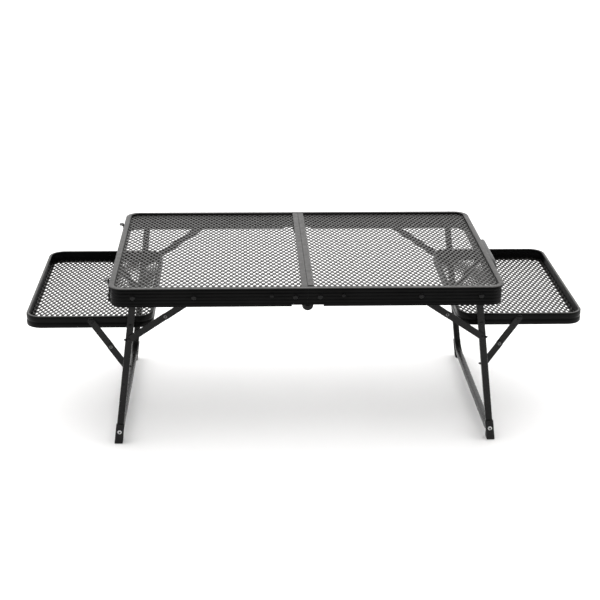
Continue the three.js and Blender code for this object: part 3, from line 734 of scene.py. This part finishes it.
def make_foot_pad(side, turned, end):
    at = END_NAME[turned * end]
    outline = [
        (PAD_SKIN, PAD_FLOOR + PAD_HEIGHT), (LEG_SPREAD + 1, PAD_FLOOR + PAD_HEIGHT),
        (LEG_SPREAD + 1, PAD_FLOOR + 24), (PAD_FACE - PAD_DEPTH, PAD_FLOOR + 9),
        (PAD_FACE - PAD_DEPTH, PAD_FLOOR - 10), (PAD_FACE - 2.4, PAD_FLOOR - 10),
        (PAD_SKIN, PAD_FLOOR + 4),
    ]
    half = PAD_WIDTH / 2
    body = loft([[(x, end * y, z) for y, z in outline] for x in (-half, half)])
    made = piece(f"foot_pad_{side}_{at}", leaned(body), PLASTIC, f"{side}_legs",
                 [f"{side}_foot_pad_{at}"], turned)
    cut_at_floor(made)
    modifier = made.modifiers.new("edge", "BEVEL")
    modifier.width = PAD_EDGE * MM
    modifier.segments = 3
    modifier.limit_method = "ANGLE"
    modifier.angle_limit = math.radians(40)
    made.data.set_sharp_from_angle(angle=math.radians(50))
    make_pad_ribs(side, turned, end, at)
    make_pad_screw(side, turned, end, at)


def make_pad_ribs(side, turned, end, at):
    ribs = []
    for low in RIB_HEIGHTS:
        edge, top = low + RIB_RISE, low + RIB_WIDTH
        chevron = [
            (-RIB_HALF, edge), (0, low), (RIB_HALF, edge),
            (RIB_HALF, edge + RIB_WIDTH), (0, top), (-RIB_HALF, edge + RIB_WIDTH),
        ]
        ribs.append(plate([(x, PAD_FLOOR + z) for x, z in chevron],
                          end * (PAD_SKIN - 0.5), end * (PAD_SKIN + 0.7)))
    piece(f"foot_ribs_{side}_{at}", leaned(joined(*ribs)), PLASTIC, f"{side}_legs",
          (), turned, bevel=0.3)


def make_pad_screw(side, turned, end, at):
    """A domed screw head with its socket, and a black disc at the socket's bottom as painted shade.
    """
    centre = (0, PAD_FLOOR + SCREW_HEIGHT)

    def spun(profile):
        return leaned(turned_part([(r, end * (PAD_SKIN + y)) for r, y in profile], centre))

    head = spun([(4.9, -0.5), (5, 0.6), (4.7, 1.5), (3.8, 2.2), (2.4, 2.6), (0.001, 2.75)])
    screw = piece(f"foot_screw_{side}_{at}", head, SCREW, f"{side}_legs", (),
                  turned)
    cut_away(screw, [mesh_object("socket", spun([(2.7, 0.5), (2.7, 4)]), turned)])
    # black disc in the socket's bottom: painted shade
    socket_shade = spun([(2.4, 0.3), (2.4, 1), (0.001, 1.2)])
    piece(f"foot_screw_recess_{side}_{at}", socket_shade, PLASTIC, f"{side}_legs", (),
          turned)


# ---------- knee braces ----------
LINK = 16
FRAME_LINK_THICKNESS, TRAY_LINK_THICKNESS = 2, 1.8
KNEE_RADIUS = 4.2
FRAME_KNEE_HEIGHT, TRAY_KNEE_HEIGHT = 1.5, 1.4
EAR_WIDTH = 5


def link(name, shapes, body, node, turned):
    piece(name, joined(*shapes), STEEL, body, [node], turned, bevel=0.4)


def rivet(name, shape, body, turned, material=RIVET):
    piece(name, shape, material, body, (), turned)


def ear(centre, toward, y0, y1):
    """A stop nib that stands out past the leg beside a brace's foot."""
    x, z = centre
    half = EAR_WIDTH / 2
    return plate([
        (x, z + half + 1), (x, z - half - 1), (x + 0.75 * toward, z - half),
        (x + toward, z - 0.5), (x + toward, z + 1.5), (x + 0.75 * toward, z + half),
    ], y0, y1)


def make_frame_brace(side, turned, end):
    at = END_NAME[turned * end]
    thick = FRAME_LINK_THICKNESS
    low = LEG_OUTER + CLEAR
    high = low + thick + CLEAR
    lower, upper = (end * low, end * (low + thick)), (end * high, end * (high + thick))
    foot = FRAME_BRACE_FOOT
    upper_bar = plate(stadium(FRAME_BRACE_TOP, FRAME_BRACE_KNEE, LINK), *upper)
    lower_bar = plate(stadium(FRAME_BRACE_KNEE, foot, LINK), *lower)
    link(f"brace_upper_{side}_{at}", [upper_bar],
         f"{side}_braces_upper", f"{side}_brace_upper_{at}", turned)
    link(f"brace_lower_{side}_{at}", [lower_bar, ear(foot, 11.5, *lower)],
         f"{side}_braces_lower", f"{side}_brace_lower_{at}", turned)
    knee = eyelet(FRAME_BRACE_KNEE, KNEE_RADIUS, FRAME_KNEE_HEIGHT, upper[1], end)
    rivet(f"brace_knee_{side}_{at}", knee, f"{side}_braces_upper", turned)
    rivet(f"brace_foot_{side}_{at}", dome(foot, SMALL_HEAD_RADIUS, 1.6, lower[1], end),
          f"{side}_braces_lower", turned, STEEL)


def make_tray_brace(side, turned, end):
    at = END_NAME[turned * end]
    thick = TRAY_LINK_THICKNESS
    near = TRAY_HALF_DEPTH + CLEAR
    far = near + thick + CLEAR
    upper, lower = (end * near, end * (near + thick)), (end * far, end * (far + thick))
    foot = TRAY_BRACE_FOOT
    upper_bar = plate(stadium(TRAY_BRACE_TOP, TRAY_BRACE_KNEE, LINK), *upper)
    lower_bar = plate(stadium(TRAY_BRACE_KNEE, foot, LINK), *lower)
    link(f"tray_brace_upper_{side}_{at}", [upper_bar],
         f"{side}_tray_braces_upper", f"{side}_tray_brace_upper_{at}", turned)
    link(f"tray_brace_lower_{side}_{at}", [lower_bar, ear(foot, -12.5, *lower)],
         f"{side}_tray_braces_lower", f"{side}_tray_brace_lower_{at}", turned)
    inside = end * (TRAY_HALF_DEPTH - TRAY_WALL - 0.2)
    outer_head = dome(TRAY_BRACE_TOP, 6.2, 2, upper[1], end)
    inner_head = dome(TRAY_BRACE_TOP, SMALL_HEAD_RADIUS, 1.6, inside, -end)
    rivet(f"tray_brace_top_{side}_{at}", joined(outer_head, inner_head),
          f"{side}_tray_braces_upper", turned, RIVET_HEAD)
    knee = eyelet(TRAY_BRACE_KNEE, KNEE_RADIUS, TRAY_KNEE_HEIGHT, lower[1], end)
    rivet(f"tray_brace_knee_{side}_{at}", knee, f"{side}_tray_braces_lower", turned)


# ---------- trays ----------
TRAY_RADIUS = 38
TRAY_WALL = 3.2
TRAY_LEDGE, TRAY_LEDGE_THICKNESS = 12, 1.7
TRAY_MESH_INSET = 3.5


def tray_profile():
    """Outline of the rim as (inset, z): a grooved wall, turned in at the top and the bottom."""
    low, high = TRAY_BOTTOM, TRAY_TOP
    ledge = low + TRAY_LEDGE_THICKNESS
    return [
        (TRAY_LEDGE, low), (1.6, low), (0.5, low + 0.5), (0, low + 1.6), (0, low + 9.6),
        (0.5, low + 10.6), (1.4, low + 11.4), (1.4, low + 14.4), (0.5, low + 15.3),
        (0, low + 16.3), (0, high - 1.9), (0.55, high - 0.6), (1.7, high), (5.8, high),
        (6.7, high - 0.5), (7, high - 1.3), (6.5, high - 1.9), (3.8, high - 2),
        (TRAY_WALL, high - 2.7), (TRAY_WALL, ledge + 0.5), (TRAY_WALL + 0.5, ledge),
        (TRAY_LEDGE, ledge),
    ]


def make_tray(side, turned):
    stations = frame_path(*TRAY_X, TRAY_HALF_DEPTH, TRAY_RADIUS)
    rim = piece(f"tray_rim_{side}", swept(stations, tray_profile(), looped=True), TRAY_STEEL,
                f"{side}_tray", [f"{side}_tray_rim"], turned, smooth=50)
    # the tray rim's level top gets the lighter coat: painted light from above
    paint_lit_top(rim, TRAY_TOP - 1, BAR_AND_LIT_TOP)
    inset = TRAY_MESH_INSET
    make_mesh_panel(
        f"tray_mesh_{side}", (TRAY_X[0] + inset, TRAY_X[1] - inset), TRAY_HALF_DEPTH - inset,
        TRAY_RADIUS - inset, tray_mesh_low.z + TRAY_MESH_RISE, True, f"{side}_tray",
        f"{side}_tray_mesh", turned, PITCHES["tray"], TILTS[f"tray_{side}"],
    )


def make_tray_pin(side, turned, end):
    at = END_NAME[turned * end]
    low, high = corners_mm(f"{side}_tray_pin_{at}")
    inner, outer = sorted((abs(low.y), abs(high.y)))
    profile = [
        (0.001, outer), (3, outer - 0.15), (4.6, outer - 0.8), (5, outer - 1.6),
        (3, outer - 1.6), (3, inner + 1.6), (0.001, inner + 1.6),
    ]
    pin = turned_part([(r, end * y) for r, y in profile], TRAY_PIVOT)
    piece(f"tray_pin_{side}_{at}", pin, STEEL, f"{side}_legs",
          [f"{side}_tray_pin_{at}"], turned)


# ---------- handle ----------
HANDLE_HALF = 92
HANDLE_BEND = 19
HANDLE_THICKNESS, HANDLE_ROUNDING = 12, 4.5
HANDLE_OFFSET = (-3.1, 20)
GRIP_SWELL, GRIP_HALF = 0.12, 70
LUG_BORE = 2.8


def make_handle():
    lean = math.atan2(*HANDLE_OFFSET)
    rise = math.hypot(*HANDLE_OFFSET)
    stations = u_path(HANDLE_HALF, 0, rise, HANDLE_BEND, steps=10)
    rings = []
    for (y, z), (ny, nz) in stations:
        swell = 1 + GRIP_SWELL * max(0, 1 - (abs(y) / GRIP_HALF) ** 4)
        section = rounded_square(HANDLE_THICKNESS * min(swell, 1.1), HANDLE_ROUNDING)
        rings.append([(a * 0.98, y + ny * b, z + nz * b) for a, b in section])
    bar = loft(rings)
    eyes = [turned_part([
        (0.001, s * (HANDLE_HALF - 6)), (5, s * (HANDLE_HALF - 6)), (6, s * (HANDLE_HALF - 5)),
        (6, s * (HANDLE_HALF + 5)), (5, s * (HANDLE_HALF + 6)), (2.5, s * (HANDLE_HALF + 6)),
        (2.5, s * (HANDLE_HALF + 12)), (0.001, s * (HANDLE_HALF + 12)),
    ], (0, 0)) for s in ENDS]
    c, s = math.cos(lean), math.sin(lean)
    whole = moved(joined(bar, *eyes), lambda p: (
        HANDLE_PIVOT[0] + p[0] * c + p[2] * s, p[1], HANDLE_PIVOT[1] - p[0] * s + p[2] * c,
    ))
    piece("handle_grip", whole, HANDLE, "handle", ["handle"], smooth=50)
    for end in ENDS:
        at = END_NAME[end]
        low, high = corners_mm(f"handle_lug_{at}")
        x, z = HANDLE_PIVOT
        base = low.x
        outline = [(base, z - 9), (base + 2, z - 9), (x - 1, z - 6)]
        outline += arc((x, z), 6, -80, 80, 12)
        outline += [(x - 1, z + 6), (base + 2, z + 9), (base, z + 9)]
        lug = piece(f"lug_{at}", plate(outline, low.y, high.y), PLASTIC, "right_half",
                    [f"handle_lug_{at}"], bevel=0.6)
        cut_away_bore(lug, (x, z), LUG_BORE, low.y, high.y)


def cut_away_bore(target, centre, radius, y0, y1):
    """Bores a piece along Y and leaves its edges square."""
    bore = turned_part([(radius, y0 - 3), (radius, y1 + 3)], centre)
    cutter = mesh_object("bore", bore)
    bevels = [m for m in target.modifiers if m.type == "BEVEL"]
    for modifier in bevels:
        target.modifiers.remove(modifier)
    cut_away(target, [cutter])


# ---------- latches and catches ----------
LATCH_BASE = HALF_LENGTH - OVERHANG + CLEAR
LATCH_SHEET = 1.6
CHEEK = 3
NOSE_DROP = 26.9
CATCH_LIP_Z, CATCH_RISE = 361.4, 24


def make_latch(end):
    """A sprung lever on a bracket at the left-hand end: a thumb leaf on top, a hook below."""
    at = END_NAME[-end]
    x, z = LATCH_PIVOT
    low, high = corners_mm(f"latch_plate_{at}")
    y0, y1 = -high.y, -low.y
    back = block((LATCH_BASE, LATCH_BASE + LATCH_SHEET), (y0, y1), (low.z, high.z))
    outline = [(LATCH_BASE + 1, z - 6), (x + 1.6, z - 3.4)]
    outline += arc((x, z), 3.2, -50, 50, 6)
    outline += [(x + 1.6, z + 3.4), (LATCH_BASE + 1, z + 6)]
    cheeks = [plate(outline, start, start + CHEEK) for start in (y0, y1 - CHEEK)]
    piece(f"latch_mount_{at}", joined(back, *cheeks), STEEL, "left_half",
          [f"latch_plate_{at}"], -1, bevel=0.3)

    nose = z - NOSE_DROP
    hook = [
        (x - 2, z - 3), (x - 0.2, z - 6), (x - 0.2, nose + 0.5), (x - 3, nose),
        (x - 3, nose - 2.7), (x + 3.4, nose - 2.4), (x + 6.4, nose + 1), (x + 4.6, z - 20),
        (x + 7, z - 14), (x + 3.6, z - 8),
    ]
    leaf = [
        (x + 2.4, z + 3), (x + 3.2, z + 12), (x + 4.5, z + 18), (x + 6, z + 20),
        (x + 12, z + 20.5), (x + 13, z + 21.7), (x + 12, z + 23.1), (x + 4.5, z + 23),
        (x + 2.6, z + 20.5), (x + 1.2, z + 13), (x - 1, z + 4),
    ]
    arm = plate(hook + leaf, y0 + CHEEK + CLEAR, y1 - CHEEK - CLEAR)
    pin = turned_part([(0.001, y0), (1.8, y0), (1.8, y1), (0.001, y1)], (x, z))
    piece(f"latch_arm_{at}", joined(arm, pin), STEEL, f"latch_{at}",
          [f"latch_lever_{at}"], -1, bevel=0.3)


def make_catch(end):
    at = END_NAME[end]
    low, high = corners_mm(f"latch_catch_{at}")
    lip, plate_face = CATCH_LIP_Z, LATCH_BASE + 1.5
    outline = [
        (LATCH_BASE, lip - 3.6), (LATCH_BASE + 4.2, lip - 2.6), (LATCH_BASE + 4.2, lip),
        (plate_face, lip), (plate_face, lip + CATCH_RISE), (LATCH_BASE, lip + CATCH_RISE),
    ]
    piece(f"catch_{at}", plate(outline, low.y, high.y), STEEL, "right_half",
          [f"latch_catch_{at}"], bevel=0.3)


# ---------- the whole table ----------
for side, turned in SIDES.items():
    make_rail(side, turned)
    make_mesh_panel(
        f"top_mesh_{side}", (mesh_low.x, mesh_high.x), mesh_high.y, TOP_MESH_RADIUS,
        mesh_high.z - TOP_MESH_DROP, False, f"{side}_half", f"{side}_top_mesh", turned,
        PITCHES[f"top_{side}"], TILTS[f"top_{side}"],
    )
    make_centre_bar(side, turned)
    make_leg(side, turned)
    make_tray(side, turned)
    for end in ENDS:
        make_hinge(side, turned, end)
        make_rail_fittings(side, turned, end)
        make_foot_pad(side, turned, end)
        make_frame_brace(side, turned, end)
        make_tray_brace(side, turned, end)
        make_tray_pin(side, turned, end)
for end in ENDS:
    make_hinge_pin(end)
make_handle()
for end in ENDS:
    make_latch(end)
    make_catch(end)


# ---------- floor, light and camera ----------
FLOOR_HALF = 30
FLOOR_COLOR = (0.93, 0.925, 0.92, 1)


def make_floor():
    size = FLOOR_HALF
    mesh = bpy.data.meshes.new("floor")
    mesh.from_pydata(
        [(-size, -size, 0), (size, -size, 0), (size, size, 0), (-size, size, 0)], [],
        [(0, 1, 2, 3)],
    )
    floor = bpy.data.objects.new("floor", mesh)
    bpy.context.scene.collection.objects.link(floor)
    material = bpy.data.materials.new("floor_paper")
    material.use_nodes = True
    shader = material.node_tree.nodes["Principled BSDF"]
    shader.inputs["Base Color"].default_value = FLOOR_COLOR
    shader.inputs["Roughness"].default_value = 0.9
    shader.inputs["Specular IOR Level"].default_value = 0.1
    floor.data.materials.append(material)


def make_light(name, location, aim, size, power):
    lamp = bpy.data.lights.new(name, "AREA")
    lamp.shape = "RECTANGLE"
    lamp.size, lamp.size_y = size
    lamp.energy = power
    made = bpy.data.objects.new(name, lamp)
    made.location = location
    made.rotation_euler = (Vector(aim) - Vector(location)).to_track_quat("-Z", "Y").to_euler()
    bpy.context.scene.collection.objects.link(made)


# brightness of the surroundings from straight in front (-Y) to straight behind (+Y)
WORLD_LEVELS = ((0.0, 0.16), (0.14, 0.34), (0.36, 1.45), (0.62, 1.5), (0.97, 1.98))
WORLD_STRENGTH = 2


def make_world():
    """Soft white studio: brightest toward the backdrop, bright at the sides, dim in front."""
    world = bpy.data.worlds.new("studio")
    bpy.context.scene.world = world
    world.use_nodes = True
    tree = world.node_tree
    direction = tree.nodes.new("ShaderNodeTexCoord")
    split = tree.nodes.new("ShaderNodeSeparateXYZ")
    tree.links.new(direction.outputs["Generated"], split.inputs[0])
    half = tree.nodes.new("ShaderNodeMapRange")
    half.inputs["From Min"].default_value = -1
    tree.links.new(split.outputs["Y"], half.inputs["Value"])
    stops = [(at, grey(level / WORLD_STRENGTH)) for at, level in WORLD_LEVELS]
    shade = ramp(tree, half.outputs[0], stops)
    tree.links.new(shade, tree.nodes["Background"].inputs["Color"])
    tree.nodes["Background"].inputs["Strength"].default_value = WORLD_STRENGTH


make_floor()
make_world()
make_light("overhead", (0, 0.3, 3.2), (0, 0, 0.2), (7, 6), 84)
bpy.context.scene.view_settings.view_transform = "Standard"

# camera: place in metres, angles in radians, focal length in millimetres
CAMERA_PLACE = (-0.1467864, -3.197776, 1.4501855)
YAW, PITCH, ROLL = 0.04442477, -0.35570897, 0.00854496
FOCAL_LENGTH = 82.44744


def make_camera():
    lens = bpy.data.cameras.new("camera")
    lens.sensor_width = 36
    lens.lens = FOCAL_LENGTH
    lens.clip_end = 100
    camera = bpy.data.objects.new("camera", lens)
    ahead = Vector((
        math.sin(YAW) * math.cos(PITCH), math.cos(YAW) * math.cos(PITCH), math.sin(PITCH),
    ))
    level = Vector((math.cos(YAW), -math.sin(YAW), 0))
    upward = level.cross(ahead)
    across = math.cos(ROLL) * level + math.sin(ROLL) * upward
    above = math.cos(ROLL) * upward - math.sin(ROLL) * level
    facing = Matrix((across, above, -ahead)).transposed().to_4x4()
    camera.matrix_world = Matrix.Translation(CAMERA_PLACE) @ facing
    bpy.context.scene.collection.objects.link(camera)
    bpy.context.scene.camera = camera


make_camera()
